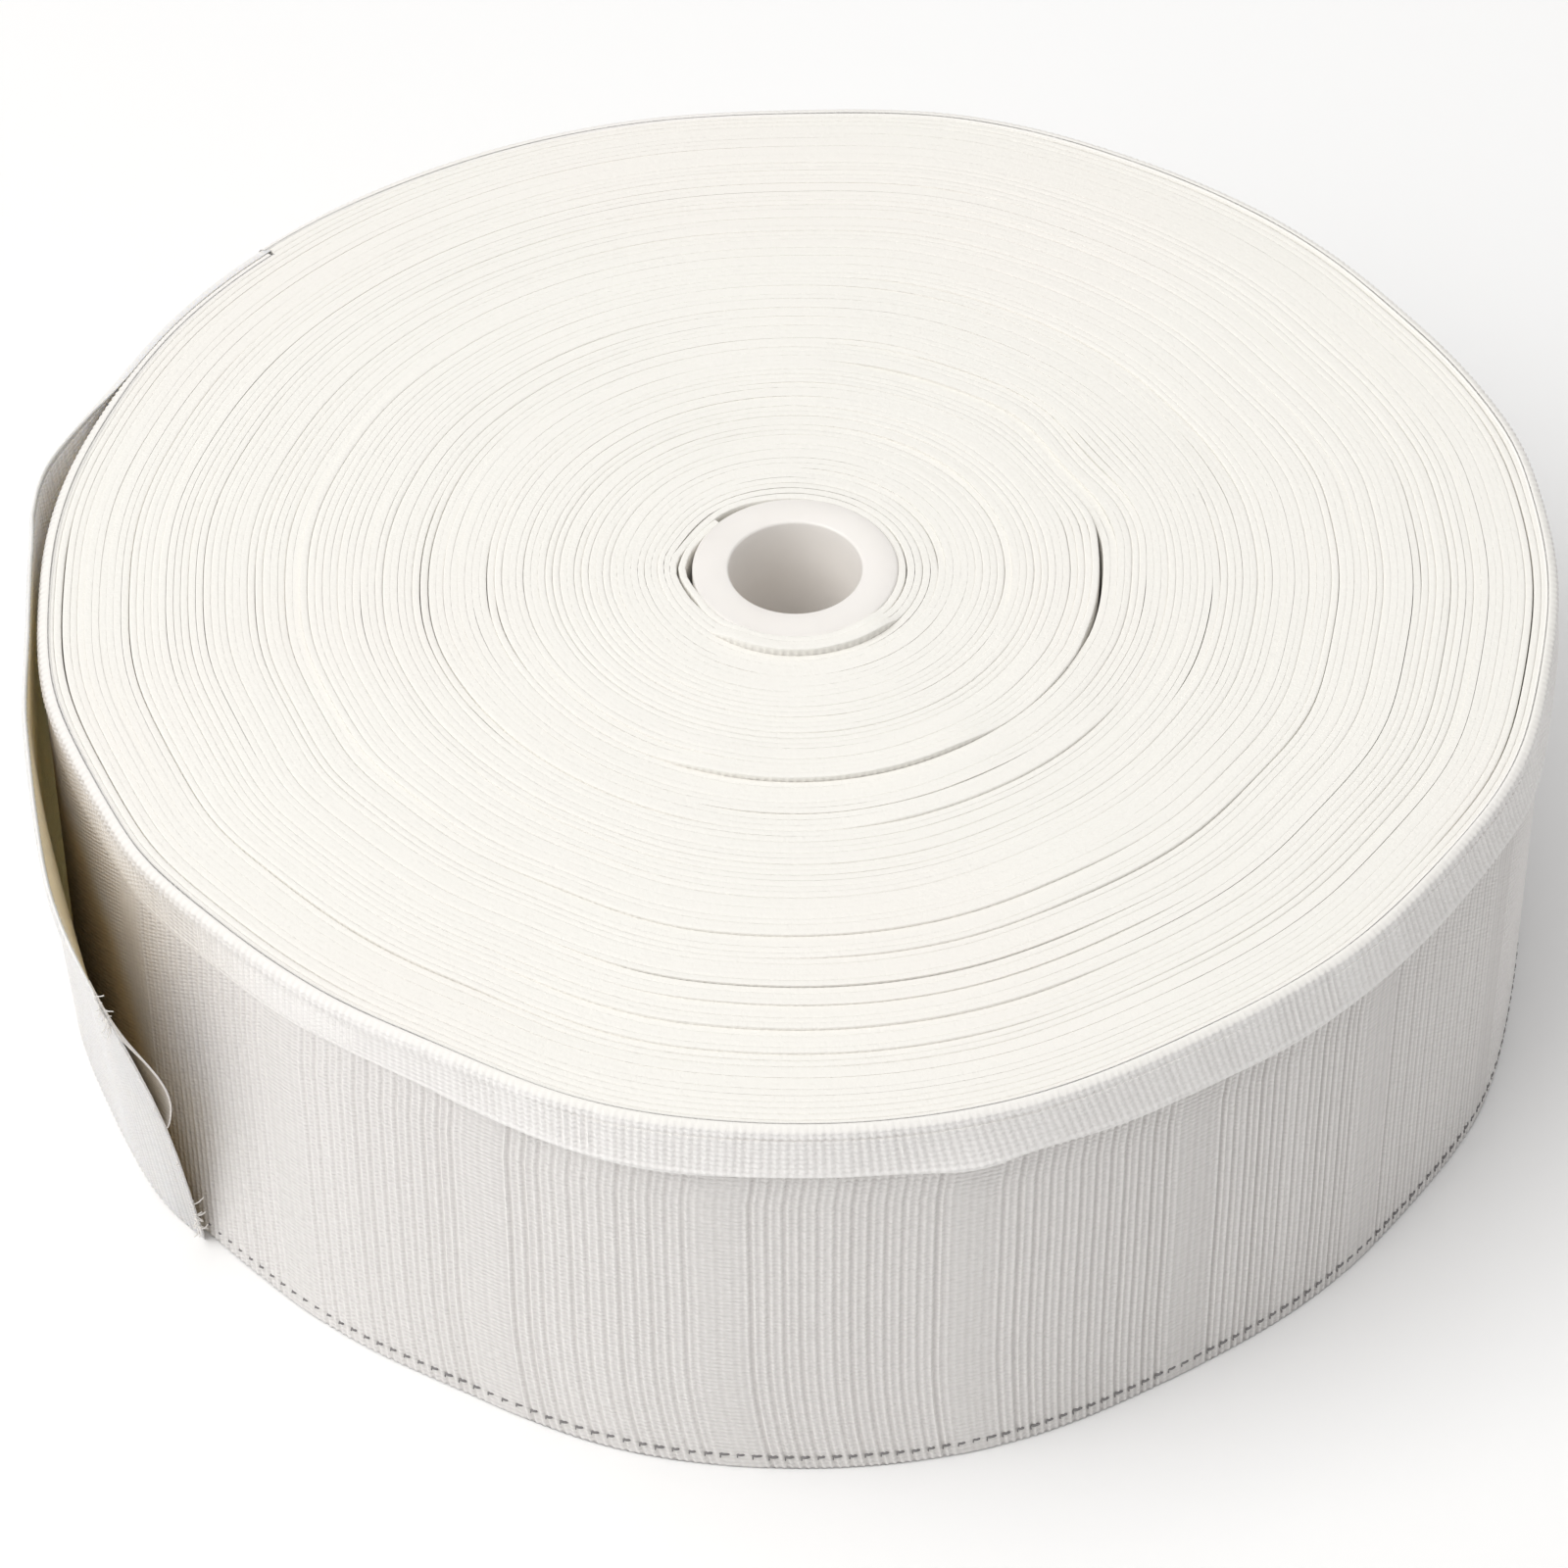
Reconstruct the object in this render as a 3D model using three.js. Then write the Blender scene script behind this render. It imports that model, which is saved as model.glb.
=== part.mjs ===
import * as THREE from 'three';
import { mergeVertices } from 'three/addons/utils/BufferGeometryUtils.js';

// Roll of curtain heading tape lying flat, in millimetres, +Z up.
// The tape is wound counterclockwise on a moulded core, and its outer end stands off the roll at the left.
// Angles are in degrees, counterclockwise from +X as seen from above: 270 is the front, 180 the left.

// Driving dimensions
const tapeWidth = 76;
const tapeThickness = 1.2;
const rollRadius = 116.4;
const coreRadius = 15.8;
const coreBoreRadius = 10.8;
const fitGap = 0.3;

// Pocket strip woven along the top of the tape's face, with a free lower edge
const stripHeight = 9.2;
const stripThickness = 0.7;
const stripHem = 0.4;

// Where the outer end leaves the roll, and how far round the core the turns stay round
const seamAngle = 138;
const roundZone = 40;
const seamStep = tapeThickness + fitGap;

// Fineness of the meshes
const rollSteps = 90;
const coreSteps = 48;
const looseSteps = 40;

// Outline of the roll: its radius as a share of rollRadius, in equal steps round it
const outlineStep = 15;
const outline = [
  { angle: 0, share: 1.011 },
  { angle: 15, share: 1.010 },
  { angle: 30, share: 1.008 },
  { angle: 45, share: 0.999 },
  { angle: 60, share: 0.995 },
  { angle: 75, share: 0.998 },
  { angle: 90, share: 0.980 },
  { angle: 105, share: 0.986 },
  { angle: 120, share: 0.993 },
  { angle: 135, share: 1.002 },
  { angle: 150, share: 1.008 },
  { angle: 165, share: 0.998 },
  { angle: 180, share: 0.998 },
  { angle: 195, share: 1.011 },
  { angle: 210, share: 0.996 },
  { angle: 225, share: 0.988 },
  { angle: 240, share: 0.989 },
  { angle: 255, share: 1.004 },
  { angle: 270, share: 1.013 },
  { angle: 285, share: 1.009 },
  { angle: 300, share: 0.992 },
  { angle: 315, share: 0.996 },
  { angle: 330, share: 1.000 },
  { angle: 345, share: 1.006 },
];

// The tape's edges lie a little below its full width, and the turns next to the core stand proud
const edgeRecess = 0.3;
const innerTurns = { reach: 2.4, proud: 0.5 };
const rimRound = 0.9;
const footRound = 1.4;

// Main lines between turns on the top face. A line is `depth` deep all round and `opening` deep from angle
// `from` to angle `to`, where its turns part. The turns just outside it stand `ridge` proud.
const turnLines = [
  { radius: 23, depth: 0.9, from: 190, to: 350, opening: 1.3, ridge: -0.5 },
  { radius: 36, depth: 0.6, from: 185, to: 225, opening: 1.4, ridge: 0.1 },
  { radius: 47, depth: 0.8, from: 325, to: 372, opening: 4.0, ridge: 0.7 },
  { radius: 56, depth: 1.0, from: 150, to: 215, opening: 3.0, ridge: 0.8 },
  { radius: 70, depth: 0.6, from: 20, to: 70, opening: 1.5, ridge: 0.1 },
  { radius: 82, depth: 0.6, from: 300, to: 335, opening: 1.6, ridge: 0.2 },
  { radius: 91, depth: 0.6, from: 245, to: 285, opening: 1.6, ridge: 0.0 },
  { radius: 103, depth: 0.6, from: 330, to: 385, opening: 1.6, ridge: 0.1 },
  { radius: 111, depth: 0.7, from: 330, to: 400, opening: 2.4, ridge: 0.0 },
];
const lineHalfWidth = 1.3;
const lineFade = 14;

// Wrinkle in the turns about halfway out, at the right and back right
const wrinkle = { radius: 56, reach: 9, angle: 25, spread: 22, waves: 9, height: 1.4 };

// Crescent gap between the core and the innermost turns, at the left
const crescent = { angle: 172, spread: 38, width: 1.9, depth: 22 };

// The spot at the front where the strip's free edge curls outward
const curl = { angle: 281, spread: 4, out: 1.1, drop: 0.4 };

// The strip's free edge is only seen, and only wavers, round the front
const stripFront = { angle: 285, reach: 55, fade: 12 };
const stripWaves = [
  { height: 0.5, round: 3, start: 20 },
  { height: 0.35, round: 8, start: 0 },
];

// Sections of the loose end, from its root to its cut: how far it has gone round the roll at its bottom and
// top edge, and how far its inner face stands off the roll there
const looseSections = [
  { along: 0.00, bottomAngle: 138.2, topAngle: 138.2, bottomGap: 0.3, topGap: 0.3 },
  { along: 0.10, bottomAngle: 146.6, topAngle: 147, bottomGap: 0.4, topGap: 0.7 },
  { along: 0.22, bottomAngle: 156, topAngle: 157, bottomGap: 0.6, topGap: 2.2 },
  { along: 0.36, bottomAngle: 167, topAngle: 168.5, bottomGap: 0.8, topGap: 3.6 },
  { along: 0.48, bottomAngle: 176, topAngle: 178, bottomGap: 1.0, topGap: 2.2 },
  { along: 0.60, bottomAngle: 186, topAngle: 188, bottomGap: 1.0, topGap: 0.9 },
  { along: 0.70, bottomAngle: 194, topAngle: 196, bottomGap: 1.0, topGap: 1.9 },
  { along: 0.80, bottomAngle: 202, topAngle: 205, bottomGap: 1.0, topGap: 6.9 },
  { along: 0.90, bottomAngle: 210, topAngle: 213.4, bottomGap: 1.1, topGap: 12.9 },
  { along: 1.00, bottomAngle: 218, topAngle: 221.8, bottomGap: 1.2, topGap: 19.9 },
];

// Heights of the loose end's rows, closer together at the strip's edge
const stripFoot = tapeWidth - stripHeight;
const looseRows = [0, 9, 20, 31, 42, 53, stripFoot - stripHem, stripFoot, tapeWidth - 0.8, tapeWidth];

const clothColour = { color: 0xf1efe8, roughness: 0.92, metalness: 0 };
const clothMaterial = new THREE.MeshStandardMaterial(clothColour);
const looseMaterial = new THREE.MeshStandardMaterial({ ...clothColour, color: 0xe3e1db });
const coreMaterial = new THREE.MeshStandardMaterial({ color: 0xefece9, roughness: 0.38, metalness: 0 });

const radians = THREE.MathUtils.degToRad;

// Shortest way from one angle to another, in degrees
function turnBetween(angle, other) {
  return THREE.MathUtils.euclideanModulo(angle - other + 180, 360) - 180;
}

// Smooth hump of height 1 at an angle, gone well past its spread
function hump(angle, centre, spread) {
  const away = turnBetween(angle, centre) / spread;
  return Math.exp(-away * away);
}

// Smooth value through four neighbouring rows (Catmull-Rom), `t` of the way from the second to the third
function smoothBetween(before, start, end, after, t) {
  const slopeStart = (end - before) / 2;
  const slopeEnd = (after - start) / 2;
  const square = t * t;
  const cube = square * t;
  return (2 * cube - 3 * square + 1) * start + (cube - 2 * square + t) * slopeStart
    + (3 * square - 2 * cube) * end + (cube - square) * slopeEnd;
}

function outlineShare(angle) {
  const place = THREE.MathUtils.euclideanModulo(angle, 360) / outlineStep;
  const row = Math.floor(place);
  const share = (offset) => outline[(row + offset + outline.length) % outline.length].share;
  return smoothBetween(share(-1), share(0), share(1), share(2), place - row);
}

// How far the outer turn has grown past the mean wall: one thickness of tape in each turn, with a step back
// at the seam
function turnGrowth(angle) {
  const wound = THREE.MathUtils.euclideanModulo(angle - seamAngle, 360) / 360;
  return seamStep * (wound - 0.5);
}

function wallRadius(angle) {
  return rollRadius * outlineShare(angle) + turnGrowth(angle);
}

// A closed geometry with only its positions left and its shared vertices merged
function solidGeometry(geometry) {
  geometry.deleteAttribute('normal');
  geometry.deleteAttribute('uv');
  return mergeVertices(geometry, 1e-4);
}

// A ring turned round +Z from a closed profile of [radius, height] points
function turnedRing(profile, steps) {
  const points = profile.map(([radius, height]) => new THREE.Vector2(radius, height));
  points.push(points[0].clone());
  const ring = new THREE.LatheGeometry(points, steps);
  ring.rotateX(Math.PI / 2);
  return solidGeometry(ring);
}

// Moves each vertex of a geometry to where `place` puts it
function reshape(geometry, place) {
  const position = geometry.attributes.position;
  const vertex = new THREE.Vector3();
  for (let index = 0; index < position.count; index += 1) {
    vertex.fromBufferAttribute(position, index);
    place(vertex);
    position.setXYZ(index, vertex.x, vertex.y, vertex.z);
  }
  geometry.computeVertexNormals();
  return geometry;
}

// Height that a line between turns adds to the top face, at one of its three rings and an angle
function turnRelief(radius, angle) {
  const line = turnLines.find((row) => Math.abs(radius - row.radius) < 1.1 * lineHalfWidth);
  if (!line) {
    return 0;
  }
  const middle = (line.from + line.to) / 2;
  const past = Math.abs(turnBetween(angle, middle)) - (line.to - line.from) / 2;
  const parted = 1 - THREE.MathUtils.smoothstep(past, 0, lineFade);
  const ring = Math.round((radius - line.radius) / lineHalfWidth);
  const heights = { [-1]: 0, 0: -THREE.MathUtils.lerp(line.depth, line.opening, parted), 1: line.ridge };
  return heights[ring];
}

// The free lower edge of the pocket strip wavers a little round the roll
function stripWaver(angle) {
  const away = Math.abs(turnBetween(angle, stripFront.angle)) - stripFront.reach;
  const front = 1 - THREE.MathUtils.smoothstep(away, 0, stripFront.fade);
  let waves = 0;
  for (const wave of stripWaves) {
    waves += wave.height * Math.sin(radians(wave.round * angle + wave.start));
  }
  return front * waves - curl.drop * hump(angle, curl.angle, curl.spread);
}

function woundTape() {
  const bore = coreRadius + fitGap;
  const wall = rollRadius;
  const strip = rollRadius + stripThickness;
  const topFace = tapeWidth - edgeRecess;
  const profile = [
    [bore, 0],
    [wall - rimRound, 0],
    [wall, footRound],
    [wall, stripFoot - stripHem],
    [strip, stripFoot],
    [strip, tapeWidth - rimRound],
    [strip - rimRound, tapeWidth],
  ];
  for (const line of [...turnLines].reverse()) {
    profile.push([line.radius + lineHalfWidth, topFace]);
    profile.push([line.radius, topFace]);
    profile.push([line.radius - lineHalfWidth, topFace]);
  }
  profile.push([bore + innerTurns.reach, topFace + innerTurns.proud]);
  profile.push([bore + fitGap, topFace + innerTurns.proud]);
  profile.push([bore, topFace]);
  profile.push([bore, tapeWidth - crescent.depth]);

  const columnWidth = 360 / rollSteps;
  return reshape(turnedRing(profile, rollSteps), (vertex) => {
    const radius = Math.hypot(vertex.x, vertex.y);
    let angle = THREE.MathUtils.euclideanModulo(THREE.MathUtils.radToDeg(Math.atan2(vertex.y, vertex.x)), 360);
    // The last column before the seam moves up against it, so that the step there is sharp.
    if (Math.abs(angle - (seamAngle - columnWidth)) < 0.1) {
      angle = seamAngle - 0.2;
    }
    const outward = THREE.MathUtils.clamp((radius - roundZone) / (rollRadius - roundZone), 0, 1);
    const outermost = THREE.MathUtils.smoothstep(radius, rollRadius - 4, rollRadius - 1);
    let reach = radius + outward * rollRadius * (outlineShare(angle) - 1) + outermost * turnGrowth(angle);
    const onTop = vertex.z > topFace - 0.1 && radius < rollRadius - 1.5;
    if (onTop) {
      vertex.z += turnRelief(radius, angle);
      const there = hump(angle, wrinkle.angle, wrinkle.spread);
      const nearby = Math.exp(-(((radius - wrinkle.radius) / wrinkle.reach) ** 2));
      reach += wrinkle.height * there * nearby * Math.sin(radians(wrinkle.waves * angle));
    }
    const onStripFoot = Math.abs(vertex.z - stripFoot) < 2 * stripHem && radius > rollRadius - 0.5;
    if (onStripFoot) {
      const free = (radius - rollRadius) / stripThickness;
      vertex.z += stripWaver(angle);
      reach += curl.out * free * hump(angle, curl.angle, curl.spread);
    }
    const inBore = radius < bore + 0.1 && vertex.z > 1;
    if (inBore) {
      const nearTop = THREE.MathUtils.smoothstep(vertex.z, tapeWidth - crescent.depth, tapeWidth - 1);
      reach += nearTop * crescent.width * hump(angle, crescent.angle, crescent.spread);
    }
    vertex.x = reach * Math.cos(radians(angle));
    vertex.y = reach * Math.sin(radians(angle));
  });
}

function coreTube() {
  const lip = 1.3;
  const edge = 0.5;
  const top = tapeWidth + 0.1;
  const profile = [
    [coreBoreRadius + edge, 0],
    [coreRadius - edge, 0],
    [coreRadius, edge],
    [coreRadius, top - lip],
    [coreRadius - 0.3 * lip, top - 0.3 * lip],
    [coreRadius - lip, top],
    [coreBoreRadius + lip, top],
    [coreBoreRadius + 0.6 * lip, top - 0.08 * lip],
    [coreBoreRadius + 0.3 * lip, top - 0.3 * lip],
    [coreBoreRadius + 0.08 * lip, top - 0.6 * lip],
    [coreBoreRadius, top - lip],
    [coreBoreRadius, edge],
  ];
  const ring = turnedRing(profile, coreSteps);
  ring.computeVertexNormals();
  return ring;
}

// A column of looseSections, smoothly between its rows
function looseValue(along, name) {
  let row = 0;
  while (row < looseSections.length - 2 && looseSections[row + 1].along < along) {
    row += 1;
  }
  const pick = (offset) => looseSections[THREE.MathUtils.clamp(row + offset, 0, looseSections.length - 1)];
  const t = (along - pick(0).along) / (pick(1).along - pick(0).along);
  return smoothBetween(pick(-1)[name], pick(0)[name], pick(1)[name], pick(2)[name], t);
}

function looseEnd() {
  const rows = looseRows.length - 1;
  const sheet = solidGeometry(new THREE.BoxGeometry(1, 1, 1, looseSteps, rows, 1));
  return reshape(sheet, (vertex) => {
    // The box's X runs along the tape, its Y up the tape's width, and its +Z side is the tape's face.
    const along = vertex.x + 0.5;
    const row = Math.round((vertex.y + 0.5) * rows);
    const height = looseRows[row];
    const share = height / tapeWidth;
    const onFace = vertex.z > 0;
    const bow = 0.9 * Math.sin(Math.PI * share) * along ** 6;
    const angle = THREE.MathUtils.lerp(looseValue(along, 'bottomAngle'), looseValue(along, 'topAngle'), share) + bow;
    const gap = THREE.MathUtils.lerp(looseValue(along, 'bottomGap'), looseValue(along, 'topGap'), share);
    const strip = height > stripFoot - 0.1 ? stripThickness : 0;
    const reach = wallRadius(angle) + gap + strip + (onFace ? tapeThickness : 0);
    vertex.set(reach * Math.cos(radians(angle)), reach * Math.sin(radians(angle)), height);
  });
}

function namedMesh(name, geometry, material) {
  const mesh = new THREE.Mesh(geometry, material);
  mesh.name = name;
  return mesh;
}

const roll = new THREE.Group();
roll.add(namedMesh('core_tube', coreTube(), coreMaterial));
roll.add(namedMesh('wound_tape', woundTape(), clothMaterial));
roll.add(namedMesh('loose_end', looseEnd(), looseMaterial));

// The origin is the bottom centre of the whole roll's box.
const middle = new THREE.Box3().setFromObject(roll).getCenter(new THREE.Vector3());
roll.position.set(-middle.x, -middle.y, 0);

export default roll;
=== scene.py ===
import math

import bmesh
import bpy
import numpy as np
from mathutils import Matrix, Vector


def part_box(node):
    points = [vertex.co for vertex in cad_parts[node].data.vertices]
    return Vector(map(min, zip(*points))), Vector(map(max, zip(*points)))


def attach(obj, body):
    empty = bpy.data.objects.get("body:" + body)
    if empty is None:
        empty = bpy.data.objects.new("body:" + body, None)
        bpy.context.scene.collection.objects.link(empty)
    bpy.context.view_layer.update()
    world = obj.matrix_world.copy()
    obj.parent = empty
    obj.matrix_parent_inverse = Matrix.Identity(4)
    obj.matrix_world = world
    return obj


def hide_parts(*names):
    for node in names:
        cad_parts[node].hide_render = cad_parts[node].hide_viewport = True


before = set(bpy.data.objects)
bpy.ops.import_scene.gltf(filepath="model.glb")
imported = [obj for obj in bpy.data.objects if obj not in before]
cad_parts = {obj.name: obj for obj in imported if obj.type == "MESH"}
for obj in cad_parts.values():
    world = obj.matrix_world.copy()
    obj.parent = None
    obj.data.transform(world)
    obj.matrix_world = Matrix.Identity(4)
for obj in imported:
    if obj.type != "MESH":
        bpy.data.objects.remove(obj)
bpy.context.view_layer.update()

# Roll of curtain heading tape: wound turns, ribbed outer turn with its pocket strip, loose end and core.
# Sizes are in millimetres until a mesh is finished, when mm turns them into metres.
# Angles are in degrees, counterclockwise from +X as seen from above: 270 is the front, 180 the left.

mm = 0.001
coreLow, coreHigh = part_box("core_tube")
axisPoint = (coreLow + coreHigh) / 2 / mm      # the core's middle, in millimetres

bpy.context.scene.view_settings.view_transform = "Standard"

roll = {
    "tapeWidth": 76.0,
    "radius": 116.4,
    "coreRadius": 15.8,
    "boreRadius": 10.4,
    "coreGap": 0.3,
    "turns": 88,
    "thickness": 0.96,          # one turn of tape, a little under the pitch of the turns
    "seamAngle": 138.0,         # where the outer turn leaves the roll
    "roundZone": 40.0,          # inside this radius the turns are round
    "outlineStep": 15.0,
    "outline": [1.011, 1.010, 1.008, 0.999, 0.995, 0.998, 0.980, 0.986, 0.993, 1.002, 1.008, 0.998,
                0.998, 1.011, 0.996, 0.988, 0.989, 1.004, 1.013, 1.009, 0.992, 0.996, 1.000, 1.006],
}
roll["innerRadius"] = roll["coreRadius"] + roll["coreGap"] + roll["thickness"] / 2
roll["pitch"] = (roll["radius"] - roll["thickness"] / 2 - roll["innerRadius"]) / (roll["turns"] - 0.5)

# Places where neighbouring turns part: radius in mm, the angles between which the gap runs, its width in mm,
# and how far in mm the turns on either side give way to it
partings = [
    (17.6, 172, 204, 0.70, 3), (18.6, 138, 172, 0.30, 3), (17.9, 330, 392, 0.12, 3),
    (19.2, 300, 320, 0.20, 3), (20.3, 178, 186, 0.10, 3), (22.8, 368, 402, 0.14, 4),
    (32.6, 328, 420, 0.09, 4), (43.2, 352, 376, 0.10, 4), (46.6, 194, 204, 0.19, 5),
    (47.2, 262, 330, 0.10, 5), (47.8, 343, 365, 0.66, 7), (48.2, 178, 189, 0.17, 5),
    (50.6, 194, 205, 0.12, 5), (53.6, 300, 352, 0.12, 5), (56.4, 300, 346, 0.10, 5),
    (56.8, 148, 208, 0.17, 6), (58.2, 168, 218, 0.19, 6), (64.8, 339, 351, 0.19, 5),
    (65.2, 361, 371, 0.12, 5), (67.6, 190, 200, 0.12, 5), (69.3, 330, 385, 0.09, 5),
    (73.2, 331, 370, 0.07, 5), (82.6, 184, 218, 0.10, 5), (83.4, 300, 334, 0.14, 6),
    (83.6, 334, 385, 0.10, 5), (88.6, 257, 295, 0.12, 6), (90.7, 158, 204, 0.14, 6),
    (93.0, 160, 216, 0.10, 6), (95.1, 305, 364, 0.14, 6), (96.3, 361, 371, 0.17, 6),
    (97.0, 152, 214, 0.12, 6), (100.6, 320, 376, 0.10, 6), (102.1, 155, 240, 0.17, 6),
    (102.3, 304, 376, 0.10, 6), (104.0, 164, 212, 0.10, 6), (106.5, 304, 376, 0.12, 6),
    (112.4, 180, 232, 0.26, 5), (113.4, 330, 374, 0.29, 5), (114.7, 374, 425, 0.24, 5),
    (115.3, 196, 252, 0.19, 4), (115.3, 326, 372, 0.24, 4),
]

# Turns whose edge stands above the turn outside it, or below it where the rise is negative: radius in mm, the
# angles between which it does, its rise in mm and how far in mm it spreads inwards
proudTurns = [
    (20.2, 240, 312, 1.50, 3.0), (47.2, 255, 300, 0.90, 4.0), (47.8, 330, 372, 0.45, 5.0),
    (53.5, 262, 300, 0.35, 4.0), (56.8, 288, 318, 0.50, 4.0), (56.8, 212, 250, 0.35, 5.0),
    (79.3, 245, 300, 0.45, 5.0), (83.5, 277, 318, 0.40, 5.0), (88.6, 255, 296, 0.45, 5.0),
    (93.0, 262, 300, 0.45, 4.0), (96.7, 255, 290, 0.45, 4.0), (102.1, 256, 282, 0.45, 4.0),
    (102.8, 222, 240, 0.30, 5.0), (33.2, 350, 420, -0.30, 5.0), (23.0, 370, 440, -0.30, 4.0),
    (50.0, 375, 432, -0.5, 6.0), (54.5, 378, 436, -0.35, 5.0), (76.5, 150, 220, 0.30, 7.0),
    (43.2, 212, 252, 0.30, 6.0), (70.8, 380, 436, -0.25, 7.0),
]

# Small dents and bulges that the outer turns share: angle, spread in degrees, mm outwards
ripples = [
    (172, 13, 1.5), (200, 7, -0.6), (213, 6, 0.8), (243, 7, -0.7), (258, 6, 0.4), (325, 7, -0.4),
    (337, 7, 0.6), (350, 7, -0.4), (374, 6, 0.6), (392, 8, -1.1),
]

rippleZone = {"from": 55.0, "over": 35.0}     # the ripples grow over these turns, mm from the middle
wrinkle = {"radius": 52.0, "reach": 7.0, "angle": 28.0, "spread": 24.0, "waves": 9, "height": 1.2}
crescent = {"angle": 179.0, "spread": 17.0, "width": 1.35, "reach": 6.0}
firstTurns = {"reach": 4, "stepFrom": 0.88}   # turns near the core step up over the tape's start here
edgeWave = {"small": 0.07, "fine": 0.05, "broad": 0.14, "calmFrom": 110, "calmOver": 4, "calm": 0.75}


def smooth(t):
    t = np.clip(t, 0, 1)
    return t * t * (3 - 2 * t)


def rising(value, start, over):
    return smooth((value - start) / over)


def turnBetween(angle, other):
    return (angle - other + 180) % 360 - 180


def within(angle, start, end, fade=10):
    past = np.abs(turnBetween(angle, (start + end) / 2)) - (end - start) / 2
    return 1 - smooth(past / fade)


def around(radius, angle):
    turned = np.radians(angle)
    return radius * np.cos(turned), radius * np.sin(turned)


def waves(angle, table):
    # waves round the roll, each with its size, its number in a turn and the degrees that it starts ahead
    return sum(size * np.sin(np.radians(count * angle + ahead)) for size, count, ahead in table)


def hump(angle, centre, spread):
    return np.exp(-(turnBetween(angle, centre) / spread) ** 2)


def drift(places, seed):
    # smooth wandering between -1 and 1, with one new height for each whole number
    heights = np.random.default_rng(seed).uniform(-1, 1, 8192)
    places = np.asarray(places, float)
    low = np.floor(places).astype(int)
    share = smooth(places - low)
    return heights[low % len(heights)] * (1 - share) + heights[(low + 1) % len(heights)] * share


def throughPoints(t, before, start, end, after):
    # a smooth curve from start to end, which also leans towards the points before and after them
    slopeStart, slopeEnd = (end - before) / 2, (after - start) / 2
    return ((2 * t**3 - 3 * t**2 + 1) * start + (t**3 - 2 * t**2 + t) * slopeStart
            + (3 * t**2 - 2 * t**3) * end + (t**3 - t**2) * slopeEnd)


def outlineShare(angle):
    shares = np.array(roll["outline"])
    place = (np.asarray(angle, float) % 360) / roll["outlineStep"]
    row = np.floor(place).astype(int)
    return throughPoints(place - row, *(shares[(row + k) % len(shares)] for k in (-1, 0, 1, 2)))


def turnMiddle(wound):
    # radius of the middle of the tape after this many turns, before the roll's unevenness
    return roll["innerRadius"] + roll["pitch"] * wound


def turnsPast(radius, start, end, angle, wound):
    # how many turns outside this gap a place on the tape lies: the gap keeps between the same two turns
    atStart = ((start - roll["seamAngle"]) % 360) / 360
    turn = round((radius - roll["pitch"] / 2 - roll["innerRadius"]) / roll["pitch"] - atStart)
    middle = (start + end) / 2
    inside = turn + atStart + (middle - start) / 360 + turnBetween(angle, middle) / 360
    return wound - inside - 0.5


def pushedOut(wound, angle):
    # mm that gaps, ripples, the wrinkle and the crescent at the core push the tape off its even place
    radius = turnMiddle(wound)
    push = np.zeros(np.broadcast(wound, angle).shape)
    for gapRadius, start, end, gap, reach in partings:
        off = turnsPast(gapRadius, start, end, angle, wound) * roll["pitch"]
        push += np.sign(off) * gap / 2 * np.exp(-np.abs(off) / reach) * within(angle, start, end, 9)
    outer = rising(radius, rippleZone["from"], rippleZone["over"])
    for centre, spread, out in ripples:
        push += out * outer * hump(angle, centre, spread)
    near = np.exp(-((radius - wrinkle["radius"]) / wrinkle["reach"]) ** 2)
    wave = np.sin(np.radians(wrinkle["waves"] * angle))
    push += wrinkle["height"] * near * wave * hump(angle, wrinkle["angle"], wrinkle["spread"])
    # the first turns lie close on the core, then step over the tape's start
    share = np.mod(wound, 1)
    stepped = rising(share, firstTurns["stepFrom"], 1 - firstTurns["stepFrom"])
    push -= roll["pitch"] * (share - stepped) * np.exp(-np.clip(wound, 0, None) / firstTurns["reach"])
    inner = np.exp(-np.clip(radius - roll["innerRadius"], 0, None) / crescent["reach"])
    push += crescent["width"] * inner * hump(angle, crescent["angle"], crescent["spread"])
    return push


def laidRadius(wound, angle):
    # radius of the middle of the tape as it lies in the roll
    radius = turnMiddle(wound)
    outward = np.clip((radius - roll["roundZone"]) / (roll["radius"] - roll["roundZone"]), 0, 1)
    return radius + outward * roll["radius"] * (outlineShare(angle) - 1) + pushedOut(wound, angle)


def wallRadius(angle):
    # outer face of the roll at this angle, on its last turn
    wound = roll["turns"] - 1 + ((angle - roll["seamAngle"]) % 360) / 360
    return laidRadius(wound, angle) + roll["thickness"] / 2


def edgeRise(wound, angle):
    # mm that the top edge of the tape stands above its even height
    rise = edgeWave["small"] * drift(wound * 3.1, 11) + edgeWave["fine"] * drift(wound * 23.0, 12)
    radius = turnMiddle(wound)
    rings = np.sin(radius / 5.3 + 2.1 * np.sin(np.radians(angle + 40)))
    rise += edgeWave["broad"] * rings * np.sin(np.radians(2 * angle) + radius / 19)
    for edgeRadius, start, end, height, reach in proudTurns:
        off = turnsPast(edgeRadius, start, end, angle, wound) * roll["pitch"]
        rise += np.where(off < 0, height * np.exp(off / reach), 0) * within(angle, start, end, 14)
    return rise * (1 - edgeWave["calm"] * rising(radius, edgeWave["calmFrom"], edgeWave["calmOver"]))


mergeDistance = 1e-6        # m
sharpFrom = 62.0            # degrees between faces


def newPiece(name, data):
    piece = bpy.data.objects.new(name, data)
    bpy.context.scene.collection.objects.link(piece)
    return piece


def meshFrom(name, bm):
    mesh = bpy.data.meshes.new(name)
    bm.to_mesh(mesh)
    bm.free()
    return mesh


def smoothFaces(mesh):
    mesh.polygons.foreach_set("use_smooth", np.ones(len(mesh.polygons), bool))


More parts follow.
